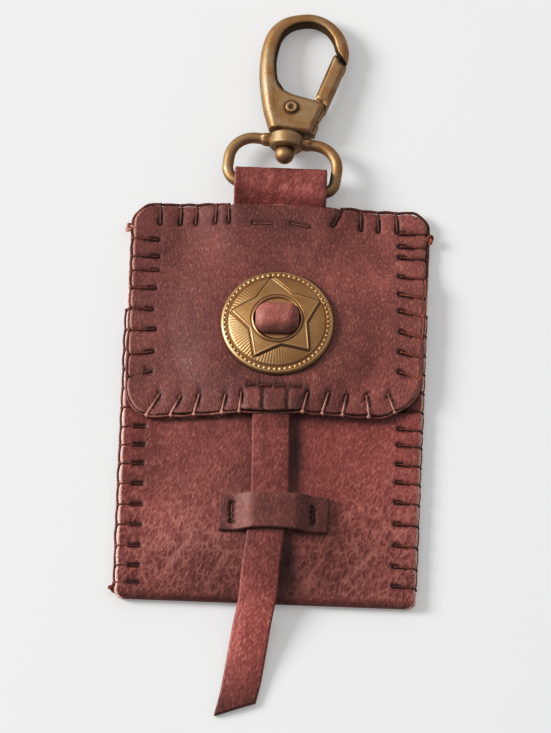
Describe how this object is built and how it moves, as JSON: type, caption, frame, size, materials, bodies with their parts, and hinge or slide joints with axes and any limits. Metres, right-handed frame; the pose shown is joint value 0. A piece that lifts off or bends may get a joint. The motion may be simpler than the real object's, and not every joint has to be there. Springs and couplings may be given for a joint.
{
  "type": "keychain wallet",
  "caption": "Flat leather card wallet with a sewn flap, a star concho, a closing strap through a keeper, and a swivel snap hook on a folded leather tab.",
  "frame": {"origin": "middle of the pouch's flat back face, on the surface that it lies on", "axes": "+X across the wallet, +Y up the wallet towards the snap hook, +Z out of the back towards the flap"},
  "size_m": [0.076, 0.1858, 0.0159],
  "materials": {
    "panel_leather": "soft burgundy, pebbled grain, raw cut edges",
    "flap_leather": "dull brown burgundy, fine grain",
    "concho_brass": "antiqued, dark in the recesses",
    "clip_brass": "antiqued cast brass, satin"
  },
  "bodies": {
    "wallet": {"pouch": "panel_leather", "flap": "flap_leather", "clip_loop": "panel_leather", "strap": "panel_leather", "keeper": "flap_leather", "concho": "concho_brass", "concho_tie": "panel_leather"},
    "ring": {"swivel_ring": "clip_brass"},
    "hook": {"snap_hook": "clip_brass", "gate_pin": "clip_brass"},
    "gate": {"gate": "clip_brass"}
  },
  "joints": [
    {"name": "ring_swing", "type": "hinge", "parent": "wallet", "child": "ring", "pos_m": [-0.0007, 0.057, 0.00534], "axis": [0.9945, -0.1045, 0], "range_deg": [-100, 120]},
    {"name": "hook_swivel", "type": "hinge", "parent": "ring", "child": "hook", "pos_m": [0.00061, 0.06951, 0.00456], "axis": [0.1043, 0.9926, -0.0619], "continuous": true},
    {"name": "gate_pivot", "type": "hinge", "parent": "hook", "child": "gate", "pos_m": [0.00149, 0.07784, 0.00404], "axis": [0.0065, 0.0616, 0.9981], "range_deg": [0, 28], "stiffness_Nm_per_rad": 0.01, "springref_deg": -11.46}
  ]
}
